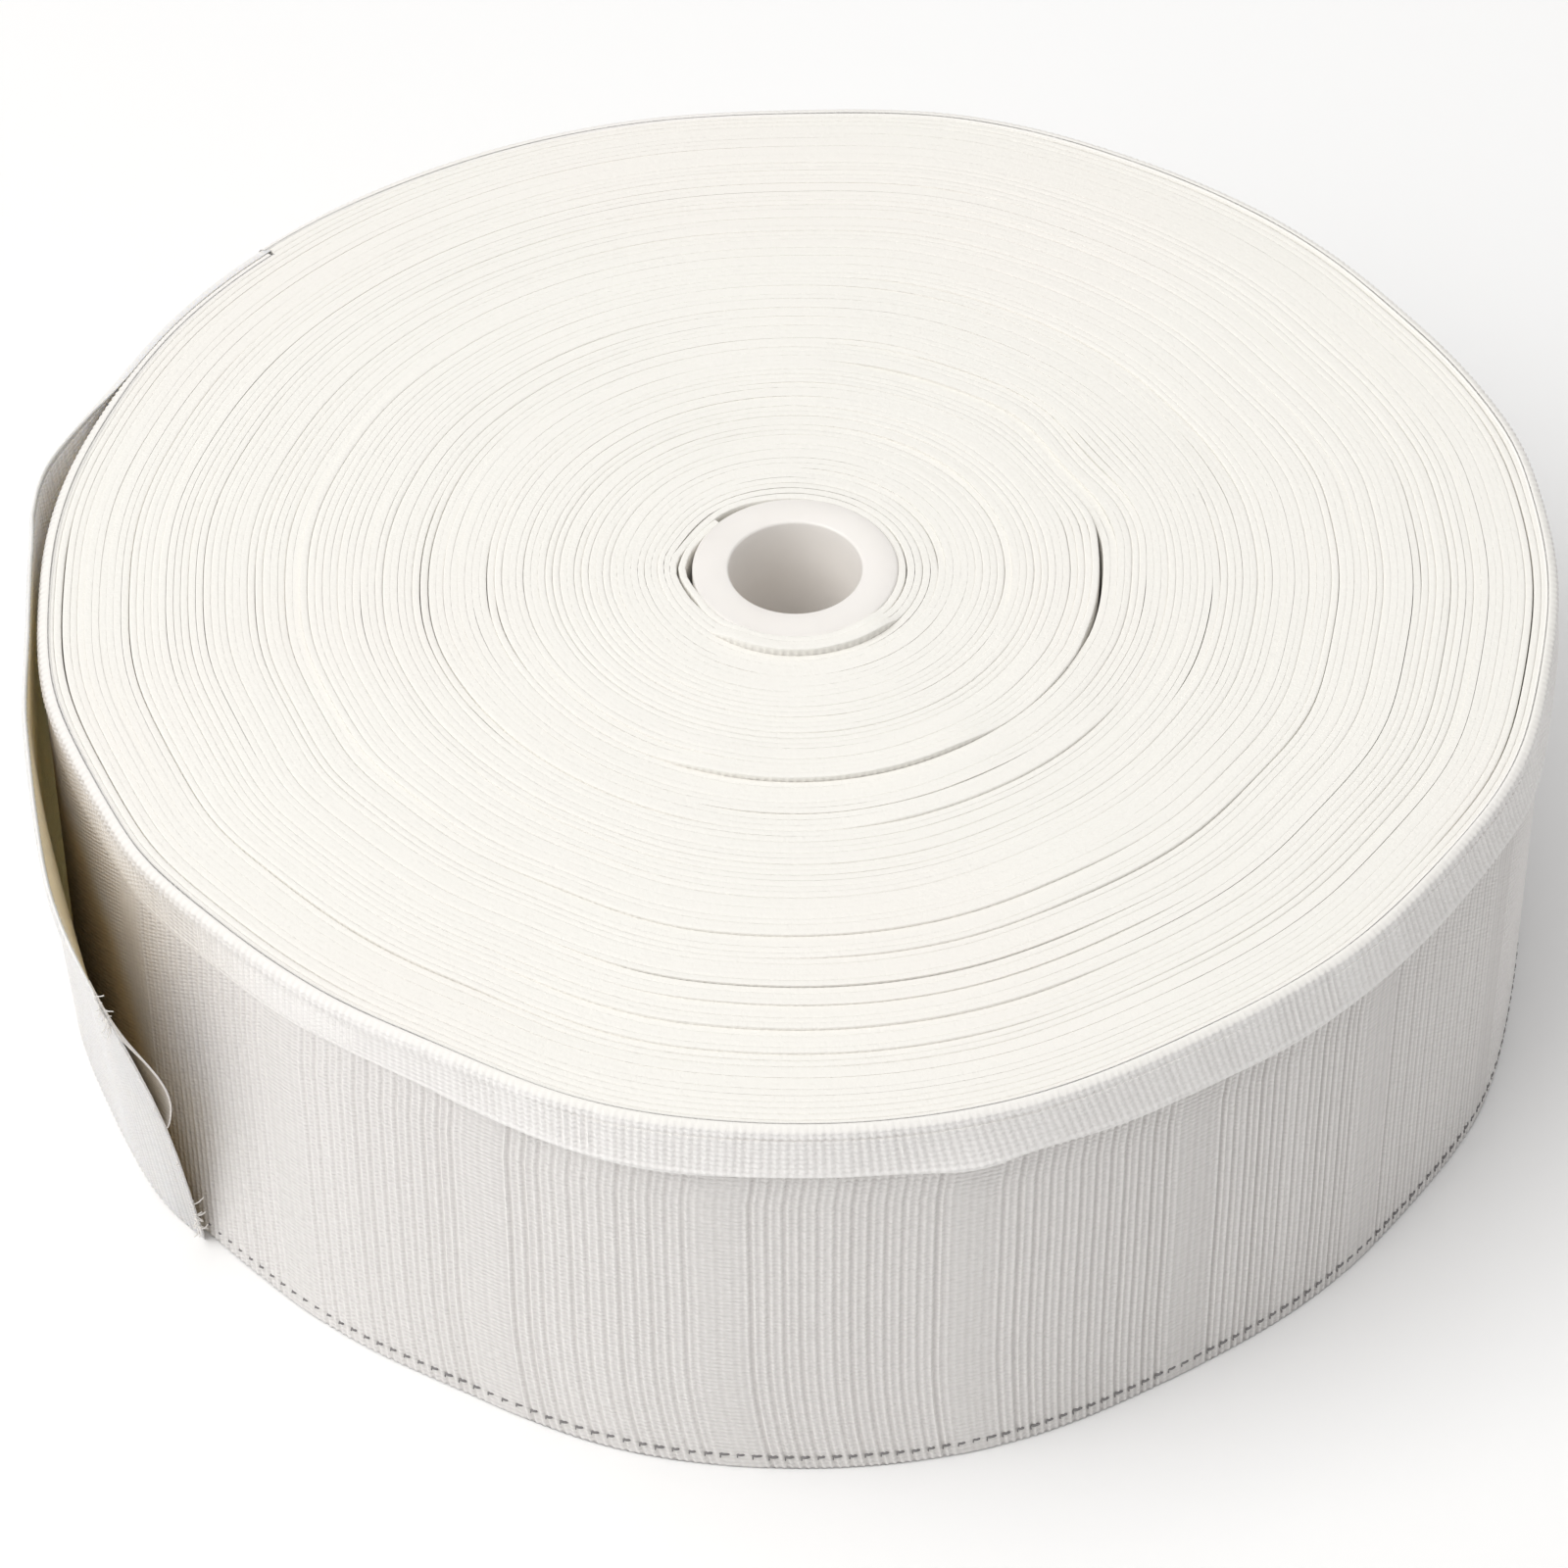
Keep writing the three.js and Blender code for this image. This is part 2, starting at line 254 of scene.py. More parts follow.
def turnedPiece(name, bm):
    # a piece that was built in millimetres about the core's axis
    shift = Matrix.Translation((axisPoint.x, axisPoint.y, 0))
    bmesh.ops.transform(bm, matrix=Matrix.Diagonal((mm, mm, mm, 1)) @ shift, verts=bm.verts)
    mesh = meshFrom(name, bm)
    smoothFaces(mesh)
    return newPiece(name, mesh)


def layOut(name, columns, rows, place):
    # lays a flat grid of tape in place and closes it, with columns along its length and rows across it.
    # For arrays of column and row numbers, place gives X, Y, Z, the lengths along and across the tape for its
    # weave, the painted brown shadow tint and the painted shade in its grooves.
    bm = bmesh.new()
    bm.loops.layers.uv.new("weave")
    bmesh.ops.create_grid(bm, x_segments=columns - 1, y_segments=rows - 1, size=1)
    mesh = meshFrom(name, bm)
    count = len(mesh.vertices)
    flat = np.empty(count * 3)
    mesh.vertices.foreach_get("co", flat)
    flat = flat.reshape(-1, 3)
    column = np.rint((flat[:, 0] + 1) / 2 * (columns - 1)).astype(int)
    row = np.rint((flat[:, 1] + 1) / 2 * (rows - 1)).astype(int)
    x, y, z, u, v, shadowTint, groove = place(column, row)
    spots = np.stack([x + axisPoint.x, y + axisPoint.y, z], 1) * mm
    mesh.vertices.foreach_set("co", spots.ravel())
    corners = np.empty(len(mesh.loops), int)
    mesh.loops.foreach_get("vertex_index", corners)
    uv = np.stack([u, v], 1)[corners] * mm
    mesh.uv_layers.active.data.foreach_set("uv", uv.ravel())
    for label, values in (("shadowTint", shadowTint), ("groove", groove)):
        kept = mesh.attributes.new(label, "FLOAT", "POINT")
        kept.data.foreach_set("value", np.broadcast_to(values, count).astype(np.float32))
    bm = bmesh.new()
    bm.from_mesh(mesh)
    bmesh.ops.remove_doubles(bm, verts=bm.verts, dist=mergeDistance)
    edges = [edge for edge in bm.edges if edge.is_boundary]
    bmesh.ops.holes_fill(bm, edges=edges, sides=0)
    bmesh.ops.recalc_face_normals(bm, faces=bm.faces)
    bm.to_mesh(mesh)
    bm.free()
    smoothFaces(mesh)
    mesh.set_sharp_from_angle(angle=math.radians(sharpFrom))
    mesh.update()
    return newPiece(name, mesh)


def dress(piece, material, slot, *nodes):
    piece.data.materials.clear()
    piece.data.materials.append(material)
    if nodes:
        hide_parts(*nodes)
    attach(piece, "root")


# Shader maths

class Value:
    # a number socket that plain expressions can use
    def __init__(self, finish, socket):
        self.finish = finish
        self.socket = socket

    def math(self, operation, first, second):
        made = self.finish.node("ShaderNodeMath", {"operation": operation}, {0: first, 1: second})
        return Value(self.finish, made.outputs[0])

    def __add__(self, other): return self.math("ADD", self, other)
    def __radd__(self, other): return self.math("ADD", other, self)
    def __sub__(self, other): return self.math("SUBTRACT", self, other)
    def __rsub__(self, other): return self.math("SUBTRACT", other, self)
    def __mul__(self, other): return self.math("MULTIPLY", self, other)
    def __rmul__(self, other): return self.math("MULTIPLY", other, self)
    def wave(self): return self.math("SINE", self, 0.0)


class Finish:
    # one material, with its shader and the way to add nodes to it
    def __init__(self, name, constants):
        self.material = bpy.data.materials.new(name)
        self.material.use_nodes = True
        self.tree = self.material.node_tree
        self.shader = self.tree.nodes["Principled BSDF"]
        for socket, value in constants.items():
            self.shader.inputs[socket].default_value = value

    def node(self, kind, settings, sockets):
        made = self.tree.nodes.new(kind)
        for name, value in settings.items():
            setattr(made, name, value)
        for name, value in sockets.items():
            self.feed(made.inputs[name], value)
        return made

    def feed(self, socket, value):
        if isinstance(value, Value):
            value = value.socket
        if isinstance(value, bpy.types.NodeSocket):
            self.tree.links.new(value, socket)
        else:
            socket.default_value = value

    def value(self, kind, settings, sockets, output=0):
        return Value(self, self.node(kind, settings, sockets).outputs[output])

    def mix(self, factor, first, second):
        made = self.node("ShaderNodeMix", {"data_type": "RGBA"}, {0: factor, 6: first, 7: second})
        return made.outputs[2]

    def speckle(self, where, scale, detail=2.0, rough=0.5):
        return self.value("ShaderNodeTexNoise", {}, {"Vector": where, "Scale": scale, "Detail": detail,
                                                     "Roughness": rough}, "Fac")

    def ramp(self, value, low, high):
        return self.value("ShaderNodeMapRange", {"interpolation_type": "SMOOTHSTEP"},
                          {"Value": value, "From Min": low, "From Max": high})

    def bump(self, height, distance, strength=1.0):
        made = self.node("ShaderNodeBump", {}, {"Height": height, "Distance": distance, "Strength": strength})
        self.feed(self.shader.inputs["Normal"], made.outputs["Normal"])


cloth = {
    "ribPitch": 1.2,            # mm along the tape
    "threadPitch": 0.84,        # mm across the tape
    "otherSide": 100.0,         # mm from a face to the other side of the tape in the UV map
    "crownFrom": 74.6,          # mm up, where the face turns into the cream of the edges
    "crownTo": 75.5,
    "creamEdge": (0.898, 0.880, 0.835, 1),
    # painted shade in the grooves: how strong it is, and the colour it darkens towards
    "grooveShade": 0.52,
    "grooveShadeColour": (0.60, 0.575, 0.56, 1),
    # painted shadow: the brown that stands for the shade behind the loose end
    "shadowTintColour": (0.80, 0.655, 0.42, 1),
    "slubScale": (900.0, 2100.0, 1.0),      # noise cells in each metre along and across the tape
    "grainScale": 2600.0,
    "patchScale": 28.0,
    "blushScale": 16.0,
    "bumpDepth": 0.0001,        # m
    "blush": 0.5,               # strength of the blush, the cream edges and the painted shadow tint
    "cream": 0.8,
    "shadowTint": 0.9,
    "glowRadius": (1.0, 0.85, 0.65),
    "glowDepth": 0.004,         # m that light spreads inside thin cloth
}


def clothFinish(name, colours, ribBump=0.0, threadBump=0.0, glow=0.0):
    light, shade, blushColour = colours
    finish = Finish(name, {"Specular IOR Level": 0.2, "Subsurface Weight": glow,
                           "Subsurface Radius": cloth["glowRadius"], "Subsurface Scale": cloth["glowDepth"]})
    places = finish.node("ShaderNodeTexCoord", {}, {})
    uv = places.outputs["UV"]
    spread = finish.node("ShaderNodeSeparateXYZ", {}, {"Vector": uv})
    u = Value(finish, spread.outputs["X"])
    v = Value(finish, spread.outputs["Y"])
    groove = finish.value("ShaderNodeAttribute", {"attribute_name": "groove"}, {}, "Fac")
    shadowTint = finish.value("ShaderNodeAttribute", {"attribute_name": "shadowTint"}, {}, "Fac")
    threads = (v * (2 * math.pi / (cloth["threadPitch"] * mm))).wave()
    stretched = finish.node("ShaderNodeMapping", {}, {"Vector": uv, "Scale": cloth["slubScale"]})
    slubs = finish.speckle(stretched.outputs["Vector"], 1.0, 1.0)
    grain = finish.speckle(uv, cloth["grainScale"], 1.0)
    flecks = finish.ramp(threads * 0.12 + slubs, 0.42, 0.72)
    dip, height = groove, grain * 0.7 + slubs * 0.9 + threads * threadBump
    if ribBump:
        # the wound turns' ribs are only a bump, where groove says that their outer side shows; the same value
        # paints shade into their grooves
        ribWave = (u * (2 * math.pi / (cloth["ribPitch"] * mm))).wave()
        dip = groove * (0.5 - ribWave * 0.5)
        height = height - dip * ribBump
    finish.bump(height, cloth["bumpDepth"])
    where = places.outputs["Object"]
    up = Value(finish, finish.node("ShaderNodeSeparateXYZ", {}, {"Vector": where}).outputs["Z"])
    crown = finish.ramp(up, cloth["crownFrom"] * mm, cloth["crownTo"] * mm)
    patches = finish.ramp(finish.speckle(where, cloth["patchScale"], 1.0), 0.35, 0.75)
    blush = finish.ramp(finish.speckle(where, cloth["blushScale"], 0.0), 0.48, 0.72)
    worn = grain * 0.32 + flecks * (0.55 if threadBump else 0.3) + patches * 0.16
    base = finish.mix(worn, light, shade)
    base = finish.mix(crown * cloth["cream"], base, cloth["creamEdge"])
    base = finish.mix(blush * cloth["blush"], base, blushColour)
    # painted shade in the grooves and on the sides of the wound turns
    base = finish.mix(dip * cloth["grooveShade"], base, cloth["grooveShadeColour"])
    # painted shadow: a brown tint where the cloth lies in the loose end's shade
    base = finish.mix(shadowTint * cloth["shadowTint"], base, cloth["shadowTintColour"])
    finish.feed(finish.shader.inputs["Base Color"], base)
    finish.feed(finish.shader.inputs["Roughness"], 0.84 + grain * 0.12)
    return finish.material


def plasticFinish():
    finish = Finish("core_plastic", {"Specular IOR Level": 0.45, "Coat Weight": 0.1, "Coat Roughness": 0.25,
                                     "Subsurface Weight": 0.3, "Subsurface Radius": (1.0, 1.0, 1.0),
                                     "Subsurface Scale": 0.006})
    where = finish.node("ShaderNodeTexCoord", {}, {}).outputs["Object"]
    blotch = finish.ramp(finish.speckle(where, 90.0, 3.0), 0.4, 0.8)
    base = finish.mix(blotch * 0.4, (0.920, 0.884, 0.845, 1), (0.850, 0.806, 0.760, 1))
    finish.feed(finish.shader.inputs["Base Color"], base)
    finish.feed(finish.shader.inputs["Roughness"], 0.34 + blotch * 0.12)
    finish.bump(finish.speckle(where, 700.0, 2.0), 0.00005, 0.5)
    return finish.material


def threadFinish(name, light, dark):
    finish = Finish(name, {"Specular IOR Level": 0.2})
    where = finish.node("ShaderNodeTexCoord", {}, {}).outputs["Object"]
    twist = finish.speckle(where, 1500.0, 2.0)
    finish.feed(finish.shader.inputs["Base Color"], finish.mix(twist, light, dark))
    finish.feed(finish.shader.inputs["Roughness"], 0.8 + twist * 0.15)
    finish.bump(twist, 0.00008)
    return finish.material


# lighter and darker yarn, and the blush of the broad patches
edgeColours = (0.895, 0.880, 0.836, 1), (0.800, 0.781, 0.728, 1), (0.892, 0.860, 0.816, 1)
faceColours = (0.915, 0.895, 0.875, 1), (0.785, 0.762, 0.745, 1), (0.890, 0.864, 0.848, 1)
# the strip's colours are a whiter weave and partly painted light, for the top light that its tilted face
# catches
stripColours = (0.945, 0.930, 0.912, 1), (0.870, 0.850, 0.832, 1), (0.905, 0.880, 0.862, 1)

edgeCloth = clothFinish("tape_edges", edgeColours, ribBump=1.4)
faceCloth = clothFinish("tape_face", faceColours, threadBump=0.45)
stripCloth = clothFinish("tape_strip", stripColours, threadBump=0.35)
looseCloth = clothFinish("tape_loose", faceColours, threadBump=0.45, glow=0.4)
corePlastic = plasticFinish()
markerGrey = threadFinish("marker_thread_grey", (0.30, 0.29, 0.29, 1), (0.17, 0.165, 0.165, 1))
whiteThread = threadFinish("white_thread", (0.90, 0.88, 0.85, 1), (0.80, 0.77, 0.73, 1))
print("finishes ready")


# The wound turns: one long ribbon, laid round and round with its edges up

# the section goes over the top edge and under the foot: the side it is nearer to, its share of the way to
# that side, mm in from the edge, and 1 for the top edge or 0 for the foot
winding = {
    "top": 75.35,
    "closedDepth": 1.5,         # mm down, where two turns meet again below the gap between their edges
    "widest": 0.515,            # turns that a turn reaches to each side, near its top edge and lower down
    "swell": 0.62,
    "apart": 0.003,             # mm that neighbouring turns always lie apart
    "slack": 0.06,              # mm more that they lie apart in places
    "sink": (0.10, 0.9),        # share of the full depth that each seam is sunk by, least and added
    "foot": (0.15, 0.1),        # mm that the lower edge stands off the floor, and how much this varies
    # painted shade on each turn's outer side, which shows in the lines between turns
    "grooveShade": 0.6,
}
tapeSection = [
    (-1, 1.00, winding["closedDepth"], 1), (-1, 1.00, 0.80, 1), (-1, 0.99, 0.16, 1), (-1, 0.90, 0.06, 1),
    (-1, 0.50, 0.0, 1), (1, 0.50, 0.0, 1), (1, 0.90, 0.06, 1), (1, 0.99, 0.16, 1), (1, 1.00, 0.80, 1),
    (1, 1.00, winding["closedDepth"], 1), (1, 1.00, 1.20, 0), (1, 0.80, 0.15, 0), (-1, 0.80, 0.15, 0),
    (-1, 1.00, 1.20, 0),
]
tapeSection.append(tapeSection[0])


def openSeam(wound):
    # mm of slack between this place on the tape and the turn outside it
    slack = np.clip(drift(wound * 2.3, 21) - 0.35, 0, 1) + np.clip(drift(wound * 5.1, 22) - 0.55, 0, 1)
    return winding["apart"] + winding["slack"] * slack


def seamSink(wound):
    # each seam is sunk by its own amount, so that only some of the lines between turns show
    least, added = winding["sink"]
    return least + added * np.clip(drift(wound * 1.7, 23) + 0.1, 0, 1)


def woundTurns(name, first, last, stepLength):
    start, end = turnMiddle(first), turnMiddle(last)
    pitch = roll["pitch"]
    whole = math.pi * (end**2 - start**2) / pitch      # length of tape in these turns
    columns = int(whole / stepLength)
    middle = np.sqrt(start**2 + pitch * np.linspace(0, whole, columns) / math.pi)
    wound = (middle - roll["innerRadius"]) / pitch
    angle = roll["seamAngle"] + 360 * (wound - roll["turns"])
    here, inside, outside = (laidRadius(wound + k, angle) for k in (0, -1, 1))
    widest = pitch * winding["widest"]
    toOutside = np.minimum((outside - here) / 2, widest) - openSeam(wound) / 2
    toInside = np.minimum((here - inside) / 2, widest) - openSeam(wound - 1) / 2
    # lower down a turn swells to meet its neighbours, unless the gap is a wide one
    swell = pitch * winding["swell"]
    lowOutside = np.minimum((outside - here) / 2 - winding["apart"], swell)
    lowInside = np.minimum((here - inside) / 2 - winding["apart"], swell)
    top = winding["top"] + edgeRise(wound, angle)
    footHeight, footWave = winding["foot"]
    foot = np.clip(footHeight + footWave * drift(wound * 3.3, 31), 0, 1)
    side, share, drop, atTop = (np.array(part) for part in zip(*tapeSection))
    along = math.pi * (middle**2 - roll["innerRadius"]**2) / pitch
    sunkOutside, sunkInside = seamSink(wound), seamSink(wound - 1)

    def place(column, row):
        outward = side[row] > 0
        high = np.where(outward, toOutside[column], toInside[column])
        low = np.where(outward, lowOutside[column], lowInside[column])
        reach = np.where((atTop[row] > 0) & (drop[row] < winding["closedDepth"]), high, low)
        radius = here[column] + side[row] * share[row] * reach
        sink = np.where(outward, sunkOutside[column], sunkInside[column])
        sunk = drop[row] * np.where(drop[row] < 0.5, sink, 1)
        z = np.where(atTop[row] > 0, top[column] - sunk, foot[column] + drop[row])
        v = np.where(atTop[row] > 0, roll["tapeWidth"] - drop[row], drop[row]) + side[row] * share[row] * 0.3
        # painted shade on the outer side of the turn
        groove = np.where(outward & (share[row] == 1), winding["grooveShade"], 0.0)
        return *around(radius, angle[column]), z, along[column], v, 0.0, groove

    return layOut(name, columns, len(tapeSection), place)


# name, first and last turn, and mm of tape from one column of points to the next
turnGroups = [
    ("inner_turns", 0, 44, 2.0),
    ("middle_turns", 44, 70, 2.2),
    ("rim_turns", 70, roll["turns"] - 1, 2.4),
]
for name, first, last, stepLength in turnGroups:
    turns = woundTurns(name, first, last, stepLength)
    dress(turns, edgeCloth, "tape", "wound_tape")
    print(name, len(turns.data.polygons), "faces")


# The outer turn, with the weft ribs woven down its face

ribs = {
    "perTurn": 600,
    "points": 6,                # columns of points on each rib, here and on the strip
    "stripPoints": 4,
    "depth": 0.32,
    "stripDepth": 0.34,
    "zoneRibs": 30,             # ribs from the start of one ribbed zone to the next
    "plainShare": 0.22,         # the last part of each zone is nearly plain
    "plainDepth": 0.32,
    "zoneStart": 230.4,
    "lean": 3.0,
    "leanAngle": 262.0,
    "leanSpread": 24.0,
    "leanHeight": 27.0,
    "leanTop": (58, 9, 0.7),    # the ribs also lean by this many mm near the strip: from, over and mm
    "crest": 1.8,               # above 1 the ribs are narrower than the grooves
    "stripCrest": 1.2,
    "plainShade": 0.42,
    "shade": (0.80, 0.30, 0.7),     # painted shade of the grooves all round, then added from the front on and at the right
    "scallop": 0.4,             # how far a groove cuts up into the foot, in groove depths
}
pocket = {
    "foot": 66.8,
    "thickness": 0.40,
    "standOff": 0.14,
    "crown": 75.58,             # top of the fold over the edge of the tape
    "lean": 17.6,               # mm that its ribs would lean over the full height, at the right of the front
    "edgeBead": 0.20,
    "flare": 1.1,               # mm that its foot stands further out than its top
    "curlAngle": 281.0,
    "curlSpread": 3.4,
    "curlOut": 1.1,
    "curlDrop": 0.6,
    "footWaves": [(0.5, 3, 20), (0.3, 8, 0), (0.18, 23, 50)],       # mm up and down
    "faceWaves": [(0.1, 5, 0), (0.12, 11, 40)],                     # mm in and out
    "ribWaves": [(0.25, 9, 0)],                                     # degrees along
    "lying": 0.12,              # share of its stand-off that is left where it lies flat, at the back
    "startOver": 30,            # degrees past the seam in which it comes to its full form
    "startDrop": 0.12,          # mm
    "endFrom": 344,             # degrees past the seam where the fold narrows to the loose end's edge
    "endOver": 16,
    "endNarrow": 0.38,
    # painted shade in the strip's rib grooves
    "grooveShade": 0.8,
}
zoneStartRib = (ribs["zoneStart"] - roll["seamAngle"]) / 360 * ribs["perTurn"]


def plainPart(ribNumber):
    # 1 in the nearly plain part at the end of each ribbed zone
    zone = (ribNumber - zoneStartRib) / ribs["zoneRibs"]
    inZone = zone - np.floor(zone)
    return rising(inZone, 1 - ribs["plainShare"], 0.04) * (1 - rising(inZone, 0.97, 0.03)), inZone


def ribHeight(ribNumber):
    # height of the ribbed face, 0 on the ribs and down to -1 in the grooves; every second groove is deeper
    crest = (0.5 + 0.5 * np.cos(2 * np.pi * ribNumber)) ** ribs["crest"]
    grooveDepth = 0.84 + 0.16 * np.cos(np.pi * (ribNumber - 0.5))
    plain, inZone = plainPart(ribNumber)
    firstRibs = 1 + 0.12 * (1 - smooth(inZone / 0.06))
    depth = (1 - plain * (1 - ribs["plainDepth"])) * firstRibs
    return -(1 - crest) * grooveDepth * depth * (1 + 0.18 * drift(ribNumber, 41))


def ribShade(ribNumber):
    # painted shade of a groove; the plain parts are given as much darkening as the ribbed ones have on the
    # whole
    return -ribHeight(ribNumber) + ribs["plainShade"] * plainPart(ribNumber)[0]


def stripRib(ribNumber):
    # the pocket strip is ribbed all along
    crest = (0.5 + 0.5 * np.cos(2 * np.pi * ribNumber)) ** ribs["stripCrest"]
    return -(1 - crest) * (0.85 + 0.25 * drift(ribNumber, 43)) * (0.9 + 0.2 * drift(ribNumber / 11, 44))


def ribLean(angle, z):
    # degrees that the ribs lean to the right towards the foot of the tape, most of all at the front
    low = np.clip(1 - z / ribs["leanHeight"], 0, 1) ** 2
    topFrom, topOver, topShift = ribs["leanTop"]
    high = rising(z, topFrom, topOver) * topShift
    sway = 0.10 * np.sin(z / 13.0 + angle / 7.0) + 0.03 * np.sin(z / 4.7 - angle / 3.0)
    shift = ribs["lean"] * low * hump(angle, ribs["leanAngle"], ribs["leanSpread"]) + high + sway
    return np.degrees(shift / roll["radius"])


# painted shadow: the cloth behind the loose end is tinted brown for the shade that falls there, up to this
# angle at each height
shadowTintEdge = {
    "height": [0, 17, 32, 48, 55, 60, 66, 70, 73],
    "angle": [219, 217, 213, 208.5, 201.5, 195.5, 185, 164, 130],
    "from": 139,
    "fade": 6,
}


def shadowTintPart(angle, z):
    # brown tint of painted shadow, fading out at the edge of the loose end's shade
    edge = np.interp(z, shadowTintEdge["height"], shadowTintEdge["angle"])
    return smooth((edge - angle) / shadowTintEdge["fade"]) * rising(angle, shadowTintEdge["from"], shadowTintEdge["fade"])


def lastTurn(points):
    # number of columns, and the angle, the rib number and the radius of the tape's middle at each of them
    columns = ribs["perTurn"] * points + 1
    angle = roll["seamAngle"] + np.linspace(0, 360, columns)
    ribNumber = np.linspace(0, ribs["perTurn"], columns)
    return columns, angle, ribNumber, laidRadius(roll["turns"] - 1 + np.linspace(0, 1, columns), angle)


def outerTurn():
    columns, angle, ribNumber, laid = lastTurn(ribs["points"])
    half = roll["thickness"] / 2
    rib = ribHeight(ribNumber) * ribs["depth"]
    # painted shade in the grooves, more from the front on and at the right
    even, front, right = ribs["shade"]
    shade = even + front * rising(angle, 230, 20) + right * within(angle, 300, 420, 25)
    shade = shade * ribShade(ribNumber)
    # rows run up the outer face, over the top, down inside and back under the foot: half thicknesses out from
    # the middle, mm up, share of the ribs
    face = [0.0, 0.9, 2.6, 7, 12, 17, 22, 28, 36, 44, 52, 59, 64, 69, 74]
    section = [(1.0, z, 1.0) for z in face]
    section += [(0.6, 75.0, 0), (-0.8, 75.0, 0), (-1.0, 74.0, 0), (-1.0, 0.4, 0), (-0.5, 0.0, 0), section[0]]
    across, height, ribbed = (np.array(part) for part in zip(*section))

    def place(column, row):
        z = height[row]
        turned = angle[column] + ribLean(angle[column], z) * (ribbed[row] > 0)
        radius = laid[column] + across[row] * half + rib[column] * ribbed[row]
        scallop = np.where(row == 0, -ribs["scallop"] * rib[column], 0)
        u = ribNumber[column] * cloth["ribPitch"]
        v = z + np.where(across[row] < 0, cloth["otherSide"], 0)
        # painted shadow: a brown tint on the wall where the loose end shades it
        shadowTint = shadowTintPart(angle[column], z)
        return *around(radius, turned), z + scallop, u, v, shadowTint, shade[column] * ribbed[row]

    return layOut("outer_turn", columns, len(section), place)


outerPiece = outerTurn()
dress(outerPiece, faceCloth, "tape", "wound_tape")
print("outer turn", len(outerPiece.data.polygons), "faces")


def stripFoot(angle):
    # the free lower edge of the pocket strip wavers round the front
    wave = waves(angle, pocket["footWaves"]) * within(angle, 230, 340, 12)
    return pocket["foot"] + wave - pocket["curlDrop"] * hump(angle, pocket["curlAngle"], pocket["curlSpread"])


def pocketStrip():
    columns, angle, ribNumber, laid = lastTurn(ribs["stripPoints"])
    wall = laid + roll["thickness"] / 2
    rib = stripRib(ribNumber) * ribs["stripDepth"]
    foot = stripFoot(angle)
    curl = pocket["curlOut"] * hump(angle, pocket["curlAngle"], pocket["curlSpread"])
    standing = pocket["lying"] + (1 - pocket["lying"]) * within(angle, 256, 334, 16)
    starts = rising(angle, roll["seamAngle"], pocket["startOver"])
    ends = rising(angle, roll["seamAngle"] + pocket["endFrom"], pocket["endOver"])
    leaning = pocket["lean"] * within(angle, 285, 420, 25)
    flare = pocket["flare"] * within(angle, 255, 400, 20)
    waver = np.clip(0.1 + waves(angle, pocket["faceWaves"]), 0, None)
    outer = pocket["standOff"] + pocket["thickness"]
    height = pocket["crown"]
    # up the face: share of the strip's height, mm out from the wall, share of the ribs, share of the lift
    face = [(0.0, 0.0, 0.0, 1), (0.0, outer + 0.05, 0.2, 1), (0.03, outer + pocket["edgeBead"], 0.5, 1),
            (0.08, outer + pocket["edgeBead"] * 0.7, 0.8, 1), (0.13, outer, 1.0, 1), (0.3, outer, 1.0, 1),
            (0.5, outer, 1.0, 1), (0.68, outer, 1.0, 1), (0.78, outer, 0.9, 1)]
    section = [(share, 0.0, out, ribbed, lift) for share, out, ribbed, lift in face]
    # over the fold: mm down from the crown, mm out from the wall, share of the ribs
    over = [(2.00, 0.54, 0.95), (1.30, 0.50, 0.9), (0.80, 0.37, 0.8), (0.42, 0.12, 0.7), (0.18, -0.20, 0.5),
            (0.05, -0.60, 0.35), (0.0, -0.90, 0.2), (0.03, -1.18, 0.1), (0.08, -1.42, 0), (0.16, -1.62, 0),
            (0.30, -1.78, 0), (1.20, -1.80, 0), (1.20, -0.9, 0)]
    section += [(1.0, down, out, ribbed, 0) for down, out, ribbed in over]
    section.append((0.75, 0.0, 0.0, 0.0, 0))
    section.append(section[0])
    share, down, offset, ribbed, lifts = (np.array(part) for part in zip(*section))

    def place(column, row):
        up, onFace, onRibs = share[row], lifts[row] > 0, ribbed[row] > 0
        z = foot[column] + up * (height - down[row] - foot[column])
        z = z - pocket["startDrop"] * (1 - starts[column]) * (up == 1)
        raised = np.where(onFace, standing[column], 1.0)
        narrowed = np.where(offset[row] > 0, starts[column], 1 - pocket["endNarrow"] * ends[column])
        radius = wall[column] + offset[row] * raised * narrowed
        radius += rib[column] * ribbed[row] * np.minimum(raised + 0.3, 1)
        # the free foot curls and wavers, and flares off the wall round the front and right
        radius += (curl + waver * standing)[column] * np.clip(1 - up / 0.55, 0, 1) * onFace
        radius += flare[column] * np.clip(1 - up / 0.9, 0, 1) * (offset[row] > 0) * onFace
        lean = ribLean(angle[column], z)
        lean += np.degrees(leaning[column] * (1 - z / height) / roll["radius"])
        lean += waves(angle[column], pocket["ribWaves"]) * np.clip(1 - up, 0, 1)
        x, y = around(radius, angle[column] + lean * onRibs)
        u = ribNumber[column] * cloth["ribPitch"]
        v = z + np.where(onRibs, 0, cloth["otherSide"])
        # painted shade in the rib grooves, and the painted brown shadow tint near the loose end
        groove = -rib[column] / ribs["stripDepth"] * ribbed[row] * pocket["grooveShade"]
        return x, y, z, u, v, shadowTintPart(angle[column], z), groove

    return layOut("pocket_strip", columns, len(section), place)


stripPiece = pocketStrip()
dress(stripPiece, stripCloth, "tape")
print("pocket strip", len(stripPiece.data.polygons), "faces")


# The loose end: the last length of tape, flared off the roll and cut on a slant

